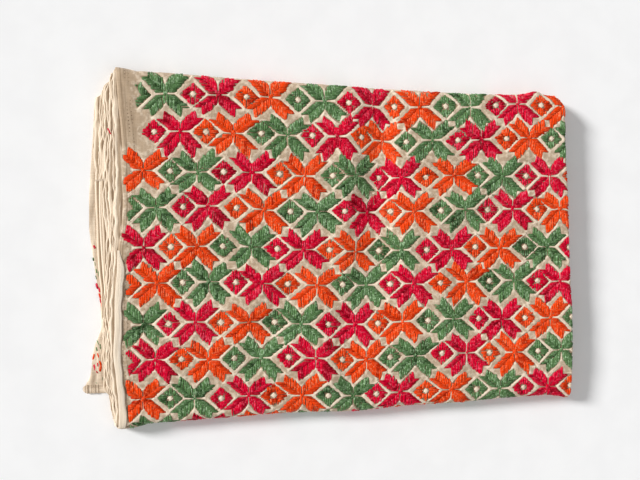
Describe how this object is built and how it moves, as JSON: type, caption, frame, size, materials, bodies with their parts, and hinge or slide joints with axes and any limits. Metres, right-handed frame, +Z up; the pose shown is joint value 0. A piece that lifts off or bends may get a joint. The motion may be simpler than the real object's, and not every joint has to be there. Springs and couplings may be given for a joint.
{
  "type": "folded phulkari shawl",
  "caption": "Cotton shawl folded flat, embroidered all over with floss stars and diamonds, with its selvedges fanned at one side and a narrow hem showing under them.",
  "frame": {"origin": "centre of the bounding box's footprint, to within about 2 mm in X, on the surface that the shawl lies on", "axes": "+X runs from the fanned selvedges to the lengthwise fold, +Y to the back cross fold, which is at the top of the picture, and +Z is up"},
  "size_m": [0.5355, 0.3766, 0.0271],
  "materials": {
    "embroidered_cotton": "cream handloom cotton ground, matt, puckered between the stitches",
    "plain_cotton": "cream handloom cotton selvedge margin, matt",
    "hem_cotton": "narrow rolled cotton hem, finely gathered",
    "crimson_floss": "untwisted embroidery floss with a silky sheen",
    "orange_floss": "untwisted embroidery floss with a silky sheen",
    "green_floss": "untwisted embroidery floss with a silky sheen"
  },
  "bodies": {
    "root": {"top_panel": "embroidered_cotton", "turned_selvedge": "plain_cotton", "left_ply_2": "plain_cotton", "left_ply_3": "plain_cotton", "left_ply_4": "plain_cotton", "left_ply_5": "plain_cotton", "left_ply_6": "plain_cotton", "bottom_panel": "plain_cotton", "end_hem": "hem_cotton", "folded_core": "embroidered_cotton"}
  },
  "joints": []
}
